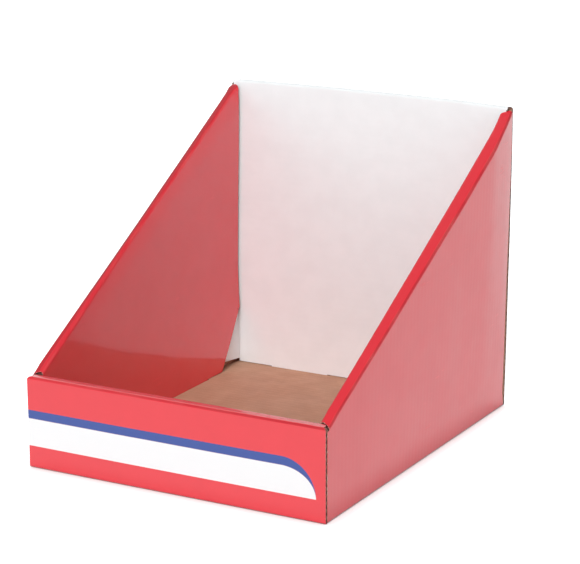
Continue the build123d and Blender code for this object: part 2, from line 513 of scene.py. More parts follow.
# %% Bottom edge with tabs
def bottom_edge(start, end):
    """From start to end along the bottom of an inner panel, with both tabs."""
    points, way = [(start, inner_bottom)], 1 if end > start else -1
    turns = ((180, 270), (270, 360)) if way > 0 else ((0, -90), (-90, -180))
    for centre in (-way * tab_pitch / 2, way * tab_pitch / 2):
        first, second = centre - way * tab_length / 2, centre + way * tab_length / 2
        points.append((first, inner_bottom))
        for middle_t, turn in zip((first + way * tab_radius, second - way * tab_radius), turns):
            rounding = arc((middle_t, tab_tip + tab_radius), tab_radius, *turn)
            points += [tuple(p) for p in rounding]
        points.append((second, inner_bottom))
    return path(*points, (end, inner_bottom))


print("bottom edge of the front's inner panel:", len(bottom_edge(-half_width, half_width)), "points")

# %% [markdown]
# ## Front and back walls
# The inner panel of the front and of the back carries a flap at each end, which turns back into
# the side wall and tapers towards its free end. It folds the other way round than the rest of
# the tray, so here the plain side goes round the arc and the printed side is the sharp one.

# %% End flaps
FLAP_TAPER = 7.0


def flap(wall, end, root, low_end, high_end, columns, length, finish):
    """An end flap: it turns towards its print, so here the plain side goes round the arc."""
    centre_inward = wall.thickness - BOARD + FOLD

    def on_blank(z, distance):
        spot = Vector((*wall.inner(0, z)[2], 0)) + wall.along * end * (root + distance)
        return spot.xy

    def row(turn, share):
        z = low_end + (high_end - low_end) * share
        plain = wall.space(end * (root + FOLD * sin(turn)), centre_inward - FOLD * cos(turn), z)
        return wall.space(end * (flap_face - BOARD), wall.thickness, z), plain, on_blank(z, FOLD * turn)

    def place(g, z):
        inward = centre_inward + g
        return (wall.space(end * (flap_face - BOARD), max(inward, wall.thickness), z),
                wall.space(end * flap_face, inward, z), on_blank(z, QUARTER + g))

    add_strip([partial(row, turn) for turn in TURNS], columns, finish)
    free = length + wall.thickness - centre_inward
    outline = (line((0, high_end), (0, low_end), columns)
               + path((0, low_end), (free, low_end + FLAP_TAPER), (free, high_end - FLAP_TAPER),
                      (0, high_end))[1:-1])
    add_panel(outline, place, finish)


print("the flaps taper by", FLAP_TAPER, "mm at each side")

# %% [markdown]
# The two top corners of a level wall are rounded, and the ends of its spine are cut back on the
# slant, so that the side walls can roll over beside them. The outer panel, the spine and the
# inner panel with its flaps share their points along the folds.

# %% Level walls
FLAP_SHOULDER = 0.6


def level_wall(wall, height, finish, flap_ends, flap_length, shoulder, flats, end_start, end_cut,
               creases):
    """The front or back wall, with its end flaps tucked into the side walls. Its spine has rows
    at the distances flats, is full width up to end_start, and is end_cut narrower inside."""
    round_centre = (half_width - CORNER, height - CORNER)

    def reach_at(up):
        lift = min(max(up - round_centre[1], 0), CORNER)
        return round_centre[0] + sqrt(CORNER ** 2 - lift ** 2)

    def slant(inward):
        return half_width - end_cut * max(inward - end_start, 0) / (wall.thickness - end_start)

    def ends_at(inward, under):
        rounded = reach_at(height - under) if inward <= FOLD + HAIR else round_centre[0]
        end = min(rounded, slant(inward))
        return -end, end

    def plain_ends_at(inward):
        end = min(reach_at(height - BOARD), slant(inward))
        return -end, end

    first, last = roll_over(wall, ends_at, plain_ends_at, flats, level_columns, finish, DEEP, creases)
    top_level = height - FOLD
    side = arc(round_centre, CORNER, 0, degrees(asin((CORNER - FOLD) / CORNER)), 2)
    right_side = path((half_width, FOLD), tuple(side[0])) + side[1:-1]
    outline = (line((-half_width, FOLD), (half_width, FOLD), level_columns)
               + right_side[1:]
               + line((first[1], top_level), (first[0], top_level), level_columns)
               + [Vector((-p.x, p.y)) for p in reversed(right_side[1:])])
    add_panel(outline, wall.outer, finish, depth=DEEP)

    root = flap_face - FOLD
    low_end, high_end = flap_ends
    flap_columns = ceil((high_end - low_end) / STEP)
    under_roll = height - BOARD
    right_side = (path((root, inner_bottom), (root, low_end))
                  + line((root, low_end), (root, high_end), flap_columns)[1:]
                  + path((root, high_end), (root, high_end + FLAP_SHOULDER),
                         (shoulder, high_end + FLAP_SHOULDER), (shoulder, under_roll),
                         (last[1], under_roll), (last[1], top_level))[1:])
    outline = (bottom_edge(-root, root) + right_side[1:-1]
               + line((last[1], top_level), (last[0], top_level), level_columns)
               + [Vector((-p.x, p.y)) for p in reversed(right_side[1:-1])])
    add_panel(outline, wall.inner, finish)
    for end in (-1, 1):
        flap(wall, end, root, low_end, high_end, flap_columns, flap_length, finish)


# %% [markdown]
# The back's flaps reach up to just under the sloping top, the front's to just under its own. The
# first fold of each top is creased, the front's more and more towards the right; the crease
# gets a dent and painted shade that darkens its ink.

# %% Front and back
FLAP_GAP = 3.8
FIRST_ARC = (1, 2, 3)
back_flap, front_flap, flap_bottom = 60.0, 40.0, BOARD + FLAP_GAP
flap_tip = half_depth - back_wall - back_flap
tip_top = slope_start.y + (flap_tip - slope_start.x) * tan(slope_angle) - BOARD
level_wall(front, front_height, RED, flap_ends=(flap_bottom, front_height - BOARD - LAYER_GAP),
           flap_length=front_flap, shoulder=flap_face - FOLD, flats=[4.0, 5.91, 7.2], end_start=4.5,
           end_cut=8.5, creases=[(row, 0.45, 0.85) for row in FIRST_ARC])
level_wall(back, back_height, WHITE, flap_ends=(flap_bottom, tip_top), flap_length=back_flap,
           shoulder=flap_face, flats=[3.5], end_start=BOARD, end_cut=1.5,
           creases=[(row, 1.0, 1.0) for row in FIRST_ARC])
print("front and back walls added, points", len(blank.verts))

# %% [markdown]
# ## Side walls
# The roll-over follows the slope, so the inner panel is the outer one's mirror image across it.
# That turns its flutes: upright outside, they run down towards the back on the inside. The
# lower rear corner of the inner panel is cut off, which clears the flap while folding.

# %% A side wall
REAR_CLEAR = 3.0
side_front, side_back = half_depth - front_wall - SLIT, half_depth - back_wall - REAR_CLEAR
notch_height, notch_depth = 60.0, 40.0
spine_rows = [4.0, 5.5, 7.0]


def side_panels(wall, relief, creases):
    """One side wall: outer panel, sloping spine and inner panel with its notch. The spine starts
    by relief behind the outer panel's top."""
    def along_top(t):
        return (t - wall.start.x) / cos(wall.angle)

    def ends_on_edge(front_t, rear_t):
        lean = FOLD * sin(wall.angle)
        return along_top(front_t - lean), along_top(rear_t - lean)

    outer_ends = ends_on_edge(wall.start.x, side_end)
    inner_ends = ends_on_edge(-side_front, side_back)

    def spine_ends(inward):
        share = inward / wall.thickness
        return (relief + along_top(-side_front) * share,
                along_top(side_end) - share * (along_top(side_end) - along_top(side_back)))

    def ends_at(inward, under):
        last = wall.thickness - FOLD
        spine = spine_ends(min(max(inward, FOLD), last))
        if inward < FOLD:
            share = acos(min(max((FOLD - inward) / FOLD, -1), 1)) / (pi / 2)
            return tuple(a + (b - a) * share for a, b in zip(outer_ends, spine))
        if inward > last:
            share = acos(min(max((FOLD - under) / FOLD, -1), 1)) / (pi / 2)
            return tuple(a + (b - a) * share for a, b in zip(spine, inner_ends))
        return spine

    def plain_ends_at(inward):
        if inward <= BOARD:
            return outer_ends
        return inner_ends if inward >= wall.thickness - BOARD else spine_ends(inward)

    roll_over(wall, ends_at, plain_ends_at, spine_rows, side_columns, RED, DEEPEST, creases)
    top_start, top_end = (wall.from_slope(c, -FOLD) for c in outer_ends)
    step_level = front_height - BOARD - LAYER_GAP
    outline = (line((-side_end, FOLD), (side_end, FOLD), side_columns)
               + path((side_end, FOLD), top_end)[1:-1]
               + line(top_end, top_start, side_columns)
               + path(top_start, (wall.start.x, step_level), (-side_end, step_level),
                      (-side_end, FOLD))[1:-1])
    add_panel(outline, wall.outer, RED)
    top_start, top_end = (wall.from_slope(c, -FOLD) for c in inner_ends)
    outline = (bottom_edge(-side_front, side_back - notch_depth)
               + path((side_back - notch_depth, inner_bottom), (side_back, inner_bottom + notch_height),
                      top_end)[1:-1]
               + line(top_end, top_start, side_columns)
               + path(top_start, (-side_front, inner_bottom))[1:-1])
    add_panel(outline, wall.inner, RED, depth=DEEPEST)


print("inner side panel runs from", round(-side_front, 1), "to", round(side_back, 1), "mm")

# %% [markdown]
# The two side walls are the same apart from how they were folded. The left spine is creased over
# most of its width, more towards the back, and starts a little further back than the right one.
# Over the left spine the crease mostly serves as painted shade: it darkens the ink into a dark strip.

# %% Right and left wall
side_panels(right_wall, relief=0.2, creases=[(row, 1.0, 1.0) for row in FIRST_ARC])
side_panels(left_wall, relief=2.2, creases=[(row, 1.0, 1.0) for row in range(2, 8)]
            + [(row, 0.3, 0.75) for row in range(8, 12)])
print("side walls added, points", len(blank.verts))

# %% [markdown]
# ## From the blank to a folded sheet
# Neighbouring panels now share points on the flat blank, so merging them there stitches the
# sheet. An edge with one face only is then a cut edge.

# %% Stitch the blank
bmesh.ops.remove_doubles(blank, verts=blank.verts, dist=HAIR)
blank.verts.ensure_lookup_table()
bmesh.ops.recalc_face_normals(blank, faces=blank.faces)
count = len(blank.verts)
flat_spot = np.array([v.co.xy for v in blank.verts])
printed_spot = [Vector(v[printed_layer]) for v in blank.verts]
plain_spot = [Vector(v[plain_layer]) for v in blank.verts]
cut_edges = [e for e in blank.edges if len(e.link_faces) == 1]
print("blank:", count, "points,", len(blank.faces), "faces,", len(cut_edges), "cut edges")

# %% [markdown]
# To open a cut edge, each of its points needs to know which way leads into the sheet. That is
# worked out in space, half-way through the board, from the panel that the edge belongs to.

# %% Directions at the cut edges
def middle(vertex):
    """The place of a point half-way through the board."""
    return (Vector(vertex[printed_layer]) + Vector(vertex[plain_layer])) / 2


def into_the_sheet(edge):
    """Direction in space from a cut edge into its panel, along the board's middle."""
    face, (a, b) = edge.link_faces[0], edge.verts
    along = (middle(b) - middle(a)).normalized()
    rest = sum((middle(v) for v in face.verts), Vector()) / len(face.verts) - middle(a)
    inward = rest - rest.dot(along) * along
    return inward.normalized()


def facing(vertex):
    """The way the board faces at a point, averaged over its faces."""
    total = Vector()
    for face in vertex.link_faces:
        around = [middle(v) for v in face.verts]
        for first, second in zip(around[1:], around[2:]):
            total += (first - around[0]).cross(second - around[0])
    return total.normalized()


inward_at = {}
for edge in cut_edges:
    inward = into_the_sheet(edge)
    for vertex in edge.verts:
        inward_at.setdefault(vertex.index, []).append(inward)
print("points on cut edges:", len(inward_at))

# %% [markdown]
# Along a cut the sheet gets its raw edge: a thin lip of liner paper on each side and a groove
# between them, which the fluting will fill. At a corner the groove goes in further, so that it
# keeps its depth from both edges, but never by more than the sharpest corner allows.

# %% Lips and grooves
LINER, SHARPEST = 0.35, 0.7
points = [*printed_spot, *plain_spot]
flats = [*map(tuple, flat_spot), *map(tuple, flat_spot)]
edge_wear = [0.0] * (2 * count)
fold_wear = [v[fold_layer] for v in blank.verts] * 2
crease = [v[crease_layer] for v in blank.verts] * 2
groove_rows = {}
for index, directions in inward_at.items():
    total = sum(directions, Vector())
    share = max(total.length / len(directions), SHARPEST)
    face_way = facing(blank.verts[index])
    inward = (total - total.dot(face_way) * face_way).normalized()
    inward *= blank.verts[index][depth_layer] / share
    through = (plain_spot[index] - printed_spot[index]).normalized() * LINER
    lips = (printed_spot[index] + through, plain_spot[index] - through)
    edge_wear[index] = edge_wear[count + index] = 1.0
    groove_rows[index] = [index, *range(len(points), len(points) + 4), count + index]
    points += [lips[0], lips[0] + inward, lips[1] + inward, lips[1]]
    flats += [tuple(flat_spot[index])] * 4
    edge_wear += [1.0] * 4
    fold_wear += [0.0] * 4
    crease += [0.0] * 4
print("points of the folded sheet:", len(points))

# %% [markdown]
# Every face of the blank becomes two, the printed one and the plain one turned over. Every cut
# edge adds five: a lip, three for the groove, and the other lip.

# %% Faces of the folded sheet
PLAIN, LIP, GROOVE = 2, 3, 4
faces, finishes = [], []
for face in blank.faces:
    corners = [v.index for v in face.verts]
    faces += [corners, [count + k for k in reversed(corners)]]
    finishes += [face.material_index, PLAIN]
for edge in cut_edges:
    loop = next(l for l in edge.link_loops)
    a, b = loop.vert.index, loop.link_loop_next.vert.index
    for level, finish in enumerate((edge.link_faces[0].material_index, GROOVE, GROOVE, GROOVE, LIP)):
        row_a, row_b = groove_rows[a], groove_rows[b]
        faces.append([row_b[level], row_a[level], row_a[level + 1], row_b[level + 1]])
        finishes.append(finish)

print("faces of the folded sheet:", len(faces))

# %% [markdown]
# ## How the tray has settled
# A tray that has been handled has moved at its free ends. The blank could be folded at wrong
# angles to show that, but small shifts on top of a true fold are easier to judge one by one.
# Each shift is a size in millimetres times a few shares, and each share fades in softly over a
# stretch of the tray, written as (where it starts, where it is full).

# %% Soft shares
def soft_share(value, start, end):
    """0 before start, 1 after end, smooth between."""
    share = min(max((value - start) / (end - start), 0), 1)
    return share * share * (3 - 2 * share)


def under_slope(y, z):
    """How far a point lies under the side walls' sloping top."""
    return slope_start.y + (y - slope_start.x) * tan(slope_angle) - z


def on_left_spine(x, y):
    """1 on the left wall's spine, fading out towards its two ends."""
    across, at_front, at_rear = (136, 139), (-150, -30), (168, 178)
    return soft_share(-x, *across) * soft_share(y, *at_front) * (1 - soft_share(y, *at_rear))


print("share of the left spine, half-way and at its rear end:", on_left_spine(-half_width, 0),
      on_left_spine(-half_width, side_end))

# %% [markdown]
# Sideways, the right wall flares out at its rear top. The left inner panel has slipped into the
# tray at its foot, leans out half-way up and in again above, and the left spine is pinched
# narrower from its inner side. Forwards, the rear end of the right outer panel has moved away
# from the back wall and leaves a gap, which closes towards the top.

# %% Sideways and forward shifts
REAR_FLARE, REAR_GAP, PINCH = 2.7, 2.2, 3.0
FOOT_SHIFT, LEAN_OUT, LEAN_IN = 1.8, 1.8, 1.3


def moved_right(x, y, z):
    """The right wall's flare, the left inner panel's slip and the pinch of the left spine."""
    flare_along, flare_height = (-40, 180), 220
    flare = REAR_FLARE * min(z / flare_height, 1) * max(x / half_width, 0) ** 2
    flare *= soft_share(y, *flare_along)
    panel_face, over_floor = (-149.6, -147.2), (-138, -60)
    beside = soft_share(x, *panel_face) * (1 - soft_share(x, *over_floor))
    lower_part, upper_part = (0, 110), (110, 290)
    lean = 1 - LEAN_OUT * soft_share(z, *lower_part) + LEAN_IN * soft_share(z, *upper_part)
    slip = FOOT_SHIFT * beside * lean
    over_spine, pinch_depth = (-149, -141), 22
    pinch = PINCH * soft_share(x, *over_spine) * on_left_spine(x, y)
    pinch *= (1 - min(max(under_slope(y, z) / pinch_depth, 0), 1)) ** 2
    return flare + slip - pinch


def moved_forward(x, y, z):
    """The gap behind the right side panel."""
    rear_end, back_wall_from, outer_panel = (172, 181.5), (182.1, 182.4), (147, 149.4)
    above_floor, closing = (3, 14), (120, 285)
    there = soft_share(y, *rear_end) * (1 - soft_share(y, *back_wall_from))
    shift = REAR_GAP * there * soft_share(x, *outer_panel) * soft_share(z, *above_floor)
    return shift * (1 - soft_share(z, *closing))


print("flare of the right wall's rear top, mm:", round(moved_right(half_width, side_end, SLOPE_TOP), 2))
print("gap behind the right side panel, mm:", round(moved_forward(half_width, side_end, front_height), 2))

# %% [markdown]
# Upwards, the back's top edge is crowned and both side walls' tops have risen at the rear.
# Downwards, the front's top edge has sunk a little and the back's left corner more. The left
# spine is rounded over its width: its crown is up and its outer edge down.

# %% Upward shifts
CROWN, CROWN_FALL, CROWN_END = 2.2, 0.008, 1.2
LOW_FRONT, CORNER_DROP, REAR_RISE = 1.0, 3.2, 1.4
RIDGE, RIDGE_LIFT, RIDGE_PLACE, RIDGE_REACH = 3.5, 0.3, 8, 9


def crowned(x, y, z):
    """How far the back's top edge is up, less towards its ends."""
    highest_at, middle_at, towards_ends = -30, -20, (110, 172)
    at_back, up_the_wall = (150, 178), (60, 298)
    crown = CROWN - CROWN_FALL * abs(x - highest_at)
    crown -= CROWN_END * soft_share(abs(x - middle_at), *towards_ends)
    return crown * soft_share(y, *at_back) * soft_share(z, *up_the_wall)


def sunk(x, y, z):
    """How far the front's top edge and the back's left corner are down."""
    at_front, front_top = (165, 172), (40, 85)
    at_left, at_back, back_top = (146.5, 152.5), (177, 182), (270, 297)
    front_part = LOW_FRONT * soft_share(-y, *at_front) * soft_share(z, *front_top)
    corner_part = CORNER_DROP * soft_share(-x, *at_left) * soft_share(y, *at_back)
    return front_part + corner_part * soft_share(z, *back_top)


def ridged(x, y, z):
    """How far the left spine is up or down over its width."""
    hill = RIDGE_LIFT - ((x + half_width - RIDGE_PLACE) / RIDGE_REACH) ** 2
    below_top = (0, 16)
    return RIDGE * hill * on_left_spine(x, y) * (1 - soft_share(under_slope(y, z), *below_top))


def risen(x, y, z):
    """How far the side walls' tops are up at the rear, with the back wall left as it is."""
    over = -under_slope(y, z)
    side_walls, towards_rear, near_top = (137, 140), (60, 180), (-60, 0)
    back_wall_from, above_top = (182.2, 183), (0.6, 3)
    rise = REAR_RISE * soft_share(abs(x), *side_walls) * soft_share(y, *towards_rear)
    rise *= soft_share(over, *near_top)
    return rise * ((1 - soft_share(y, *back_wall_from)) * (1 - soft_share(over, *above_top)))


print("crown of the back's top, mm:", round(crowned(0, half_depth, back_height), 2))
print("drop of the back's left corner, mm:", round(sunk(-half_width, half_depth, back_height), 2))

# %% [markdown]
# A slow noise is added last, so that no wall is a perfect plane. It is held back near the floor,
# which stands flat on the counter. Its seed is set here, because Blender otherwise takes one from
# the clock, and the tray would come out a little different at every run.

# %% Where each point ends up
WAVER, WAVER_SCALE, STIFF_FOOT = 0.35, 70.0, 30.0
WAVER_SEED = 1
noise.seed_set(WAVER_SEED)


def settled(point):
    """Where a point of the sheet is once the tray has settled."""
    x, y, z = point
    drift = noise.noise_vector(point / WAVER_SCALE) * WAVER * min(max(z / STIFF_FOOT, 0), 1)
    up = crowned(x, y, z) - sunk(x, y, z) + ridged(x, y, z) + risen(x, y, z)
    return Vector((x + drift.x + moved_right(x, y, z), y + drift.y - moved_forward(x, y, z), z + up))


settled_spots = [settled(point) for point in points]
shifts = [(there - point).length for there, point in zip(settled_spots, points)]
print("largest shift of a point, mm:", round(max(shifts), 2))

# %% [markdown]
# The mesh keeps the flat blank as its UV map, so a pattern can follow the board over every fold.
# Merging points that fold together can leave slivers, which hang by one edge and are deleted.

# %% Build the sheet's mesh
MERGE = 0.002
SMOOTH_UP_TO = 32
mesh = bpy.data.meshes.new("folded_sheet")
mesh.from_pydata([spot * MM for spot in settled_spots], [], faces)
mesh.polygons.foreach_set("material_index", finishes)
corner_vertices = np.empty(len(mesh.loops), int)
mesh.loops.foreach_get("vertex_index", corner_vertices)
blank_map = mesh.uv_layers.new(name="blank")
blank_map.data.foreach_set("uv", (np.array(flats)[corner_vertices] * MM).ravel())
for name, values in (("edge_wear", edge_wear), ("fold_wear", fold_wear), ("crease", crease)):
    mesh.attributes.new(name, "FLOAT", "POINT").data.foreach_set("value", values)

work = bmesh.new()
work.from_mesh(mesh)
bmesh.ops.remove_doubles(work, verts=work.verts, dist=MERGE * MM)
slivers = {face for edge in work.edges if len(edge.link_faces) == 1 for face in edge.link_faces}
bmesh.ops.delete(work, geom=list(slivers), context="FACES")
bmesh.ops.recalc_face_normals(work, faces=work.faces)
open_edges = sum(1 for e in work.edges if len(e.link_faces) != 2)
volume = work.calc_volume()
work.to_mesh(mesh)
work.free()
mesh.polygons.foreach_set("use_smooth", [True] * len(mesh.polygons))
mesh.set_sharp_from_angle(angle=radians(SMOOTH_UP_TO))
sheet = bpy.data.objects.new("folded_sheet", mesh)
bpy.context.scene.collection.objects.link(sheet)
print("sheet:", len(mesh.polygons), "faces, open edges", open_edges, "volume cm3", round(volume * 1e6, 1))

# %% [markdown]
# ## The fluting in the cut edges
# Between its two liners the board holds a wavy paper. Its flutes run left to right across the
# whole blank, so the wave's height depends only on how far up the blank a point lies. Where a
# cut crosses the flutes the wave shows; where it runs along them the edge looks closed.
# A repeating shape along a path is a job for Geometry Nodes: the cut edges go in as lines that
# know their direction into the sheet and across it, and a thin wavy ribbon comes out.

# %% Lines along the cut edges
FLUTE_PITCH, PAPER, RECESS = 6.5, 0.22, 0.12
CROSSING = 0.35
RIBBON_STEP, UNEVEN = 0.7, 0.35

line_points, line_edges, line_index = [], [], {}
across_values, inward_values, row_values = [], [], []


def line_point(index):
    """The middle of the groove at a point of a cut edge, with its directions."""
    if index in line_index:
        return line_index[index]
    lips = [settled_spots[groove_rows[index][k]] for k in (1, 4)]
    inner = settled_spots[groove_rows[index][2]]
    inward = inner - lips[0]
    line_index[index] = len(line_points)
    line_points.append(((lips[0] + lips[1]) / 2 + inward.normalized() * RECESS) * MM)
    across_values.append((lips[0] - lips[1]) / 2 * (1 - PAPER / (BOARD - 2 * LINER)) * MM)
    inward_values.append(inward * MM * (1 - RECESS / inward.length))
    row_values.append(flat_spot[index][1] * MM)
    return line_index[index]


for edge in cut_edges:
    a, b = (v.index for v in edge.verts)
    run = flat_spot[b] - flat_spot[a]
    if abs(run[1]) > CROSSING * np.linalg.norm(run):
        line_edges.append((line_point(a), line_point(b)))

line_mesh = bpy.data.meshes.new("cut_lines")
line_mesh.from_pydata(line_points, line_edges, [])
for name, kind, field, values in (("across", "FLOAT_VECTOR", "vector", across_values),
                                  ("inward", "FLOAT_VECTOR", "vector", inward_values),
                                  ("row", "FLOAT", "value", row_values)):
    numbers = np.array(values, np.float32).ravel()
    line_mesh.attributes.new(name, kind, "POINT").data.foreach_set(field, numbers)
length = sum((line_points[a] - line_points[b]).length for a, b in line_edges)
print("cut edges that cross the flutes, m:", round(length, 2))

# %% [markdown]
# Geometry Nodes and shader groups are both node trees, so two helpers serve for all of them: one
# makes a tree with named sockets, the other adds nodes and links them to what is handed in.

# %% Helpers for node trees
def new_tree(name, kind, inputs, outputs):
    """A node tree with named sockets: (name, socket kind, value) in, (name, kind) out."""
    tree = bpy.data.node_groups.new(name, kind)
    sockets = tree.interface
    for label, socket_kind, value in inputs:
        socket = sockets.new_socket(label, in_out="INPUT", socket_type="NodeSocket" + socket_kind)
        if value is not None:
            socket.default_value = value
    for label, socket_kind in outputs:
        sockets.new_socket(label, in_out="OUTPUT", socket_type="NodeSocket" + socket_kind)
    return tree


class Wiring:
    """Adds nodes to a tree; an input may be a value or another node's output."""

    def __init__(self, tree, prefix="ShaderNode"):
        self.nodes, self.links, self.prefix = tree.nodes, tree.links, prefix

    def add(self, kind, inputs=(), prefix=None, **settings):
        node = self.nodes.new((self.prefix if prefix is None else prefix) + kind)
        for name, value in settings.items():
            setattr(node, name, value)
        for name, value in dict(inputs).items():
            if isinstance(value, bpy.types.NodeSocket):
                self.links.new(value, node.inputs[name])
            else:
                node.inputs[name].default_value = value
        return node

    def math(self, operation, a, b=0.0, clamp=False):
        node = self.add("Math", {0: a, 1: b}, "ShaderNode", operation=operation, use_clamp=clamp)
        return node.outputs[0]

    def ramp(self, value, start, end, low=0.0, high=1.0):
        """Value mapped smoothly from start..end to low..high."""
        node = self.add("MapRange", {"Value": value, "From Min": start, "From Max": end, "To Min": low,
                                     "To Max": high}, "ShaderNode", interpolation_type="SMOOTHSTEP")
        return node.outputs[0]


# %% [markdown]
# The tree resamples each line, lifts it by a sine of its row, pulls the line inward into a
# ribbon and gives the ribbon the thickness of the paper. A slow noise makes the wave uneven.

# %% Ribbon tree
def ribbon_tree():
    """Geometry Nodes: a wavy paper ribbon along each line."""
    tree = new_tree("fluting_ribbon", "GeometryNodeTree",
                    [("Lines", "Geometry", None), ("Pitch", "Float", FLUTE_PITCH * MM),
                     ("Step", "Float", RIBBON_STEP * MM), ("Paper", "Float", PAPER * MM),
                     ("Unevenness", "Float", UNEVEN), ("Seed", "Float", 4.0),
                     ("Finish", "Material", None)],
                    [("Ribbon", "Geometry")])
    w = Wiring(tree, "GeometryNode")
    given = w.add("GroupInput", prefix="Node").outputs
    curves = w.add("MeshToCurve", {"Mesh": given["Lines"]})
    even = w.add("ResampleCurve", {"Curve": curves.outputs[0], "Length": given["Step"]}, mode="LENGTH")
    across = w.add("InputNamedAttribute", {"Name": "across"}, data_type="FLOAT_VECTOR")
    inward = w.add("InputNamedAttribute", {"Name": "inward"}, data_type="FLOAT_VECTOR")
    row = w.add("InputNamedAttribute", {"Name": "row"}, data_type="FLOAT")
    drift = w.add("TexNoise", {"W": given["Seed"], "Scale": 60.0, "Detail": 1.0}, "ShaderNode",
                  noise_dimensions="4D")
    phase = w.math("MULTIPLY", w.math("DIVIDE", row.outputs[0], given["Pitch"]), 2 * pi)
    shift = w.math("MULTIPLY", w.math("SUBTRACT", drift.outputs[0], 0.5), given["Unevenness"])
    wave = w.math("SINE", w.math("ADD", phase, w.math("MULTIPLY", shift, 2 * pi)))
    lift = w.add("VectorMath", {0: across.outputs[0], "Scale": wave}, "ShaderNode", operation="SCALE")
    waved = w.add("SetPosition", {"Geometry": even.outputs[0], "Offset": lift.outputs[0]})
    wire = w.add("CurveToMesh", {"Curve": waved.outputs[0]})
    strip = w.add("ExtrudeMesh", {"Mesh": wire.outputs[0], "Offset": inward.outputs[0],
                                  "Offset Scale": 1.0}, mode="EDGES")
    thick = w.add("ExtrudeMesh", {"Mesh": strip.outputs[0], "Offset Scale": given["Paper"],
                                  "Individual": False}, mode="FACES")
    under = w.add("FlipFaces", {"Mesh": strip.outputs[0]})
    joined = w.add("JoinGeometry")
    w.links.new(under.outputs[0], joined.inputs[0])
    w.links.new(thick.outputs[0], joined.inputs[0])
    closed = w.add("MergeByDistance", {"Geometry": joined.outputs[0], "Distance": MERGE * MM})
    real = w.add("RealizeInstances", {"Geometry": closed.outputs[0]})
    made = w.add("SetMaterial", {"Geometry": real.outputs[0], "Material": given["Finish"]})
    w.links.new(made.outputs[0], w.add("GroupOutput", prefix="Node").inputs[0])
    return tree


print("a flute every", FLUTE_PITCH, "mm, with paper of", PAPER, "mm")

# %% [markdown]
# ## Effects shared by the finishes
# Four small node groups carry what several finishes need: the washboard that flutes press into
# a liner, the fibres and mottling of paper, wear along cut edges and folds, and the marks of
# handling. Each puts out masks or heights only; the colour and the gloss stay in the finish.

# %% Washboard
def washboard_group():
    """The faint ridges of the flutes, across the blank, a little uneven."""
    tree = new_tree("washboard", "ShaderNodeTree",
                    [("Blank", "Vector", None), ("Pitch", "Float", FLUTE_PITCH * MM),
                     ("Unevenness", "Float", 0.15)], [("Height", "Float"), ("Crest", "Float")])
    w = Wiring(tree)
    given = w.add("GroupInput", prefix="Node").outputs
    place = w.add("SeparateXYZ", {0: given["Blank"]})
    drift = w.add("TexNoise", {"Vector": given["Blank"], "Scale": 25.0, "Detail": 2.0})
    rows = w.math("DIVIDE", place.outputs["Y"], given["Pitch"])
    rows = w.math("ADD", rows, w.math("MULTIPLY", drift.outputs[0], given["Unevenness"]))
    wave = w.math("SINE", w.math("MULTIPLY", rows, 2 * pi))
    patches = w.add("TexNoise", {"Vector": given["Blank"], "Scale": 9.0})
    strength = w.ramp(patches.outputs[0], 0.3, 0.7, low=0.45, high=1.0)
    from_zero = w.math("ADD", w.math("MULTIPLY", wave, 0.5), 0.5)
    height = w.math("MULTIPLY", from_zero, strength)
    result = w.add("GroupOutput", prefix="Node").inputs
    w.links.new(height, result["Height"])
    # The crest mask is used for the plain board's rows of painted shade.
    w.links.new(w.ramp(wave, 0.6, 1.0), result["Crest"])
    return tree


groups = {"washboard": washboard_group()}
print("washboard:", len(groups["washboard"].nodes), "nodes")

# %% [markdown]
# Paper is fibres laid mostly one way, clouds of denser pulp, and a few darker flecks. All three
# are noises on the flat blank, stretched and turned to their grain.

# %% Paper
FLECK_EDGE = 6.0


def paper_group():
    """Fibres, soft mottling and sparse dark flecks of paper."""
    tree = new_tree("paper", "ShaderNodeTree", [("Blank", "Vector", None), ("Fleck Share", "Float", 0.3)],
                    [("Fibre", "Float"), ("Mottle", "Float"), ("Fleck", "Float")])
    w = Wiring(tree)
    given = w.add("GroupInput", prefix="Node").outputs
    stretched = w.add("Mapping", {"Vector": given["Blank"], "Scale": (1.0, 0.22, 1.0)})
    fibre = w.add("TexNoise", {"Vector": stretched.outputs[0], "Scale": 2600.0, "Detail": 3.0,
                               "Roughness": 0.6})
    mottle = w.add("TexNoise", {"Vector": given["Blank"], "Scale": 42.0, "Detail": 4.0,
                                "Roughness": 0.55})
    turned = w.add("Mapping", {"Vector": given["Blank"], "Rotation": (0, 0, 0.6),
                               "Scale": (0.45, 1.0, 1.0)})
    specks = w.add("TexNoise", {"Vector": turned.outputs[0], "Scale": 1700.0, "Detail": 1.0})
    limit = w.math("SUBTRACT", 1.0, given["Fleck Share"])
    over = w.math("SUBTRACT", w.ramp(specks.outputs[0], 0.0, 1.0), limit, clamp=True)
    fleck = w.math("MULTIPLY", over, FLECK_EDGE, clamp=True)
    result = w.add("GroupOutput", prefix="Node").inputs
    w.links.new(fibre.outputs[0], result["Fibre"])
    w.links.new(mottle.outputs[0], result["Mottle"])
    w.links.new(fleck, result["Fleck"])
    return tree


groups["paper"] = paper_group()
print("paper:", len(groups["paper"].nodes), "nodes")

# %% [markdown]
# Wear needs to know where the edges and folds are, which the mesh says with its attributes. A
# noise is added to them, and only what comes over a limit counts as chipped, cracked or rubbed,
# so that wear comes in small bites and patches and not as an even line.

# %% Wear
CHIPPED_FROM, CHIPPED_FULL = 1.18, 1.26
CRACKED_FROM, CRACKED_FULL = 1.0, 1.08
FINE_BITES, BROAD_BITES = 0.45, 0.35
FOLD_CROWN, FOLD_SIDE = (0.75, 1.0), (0.2, 1.0)


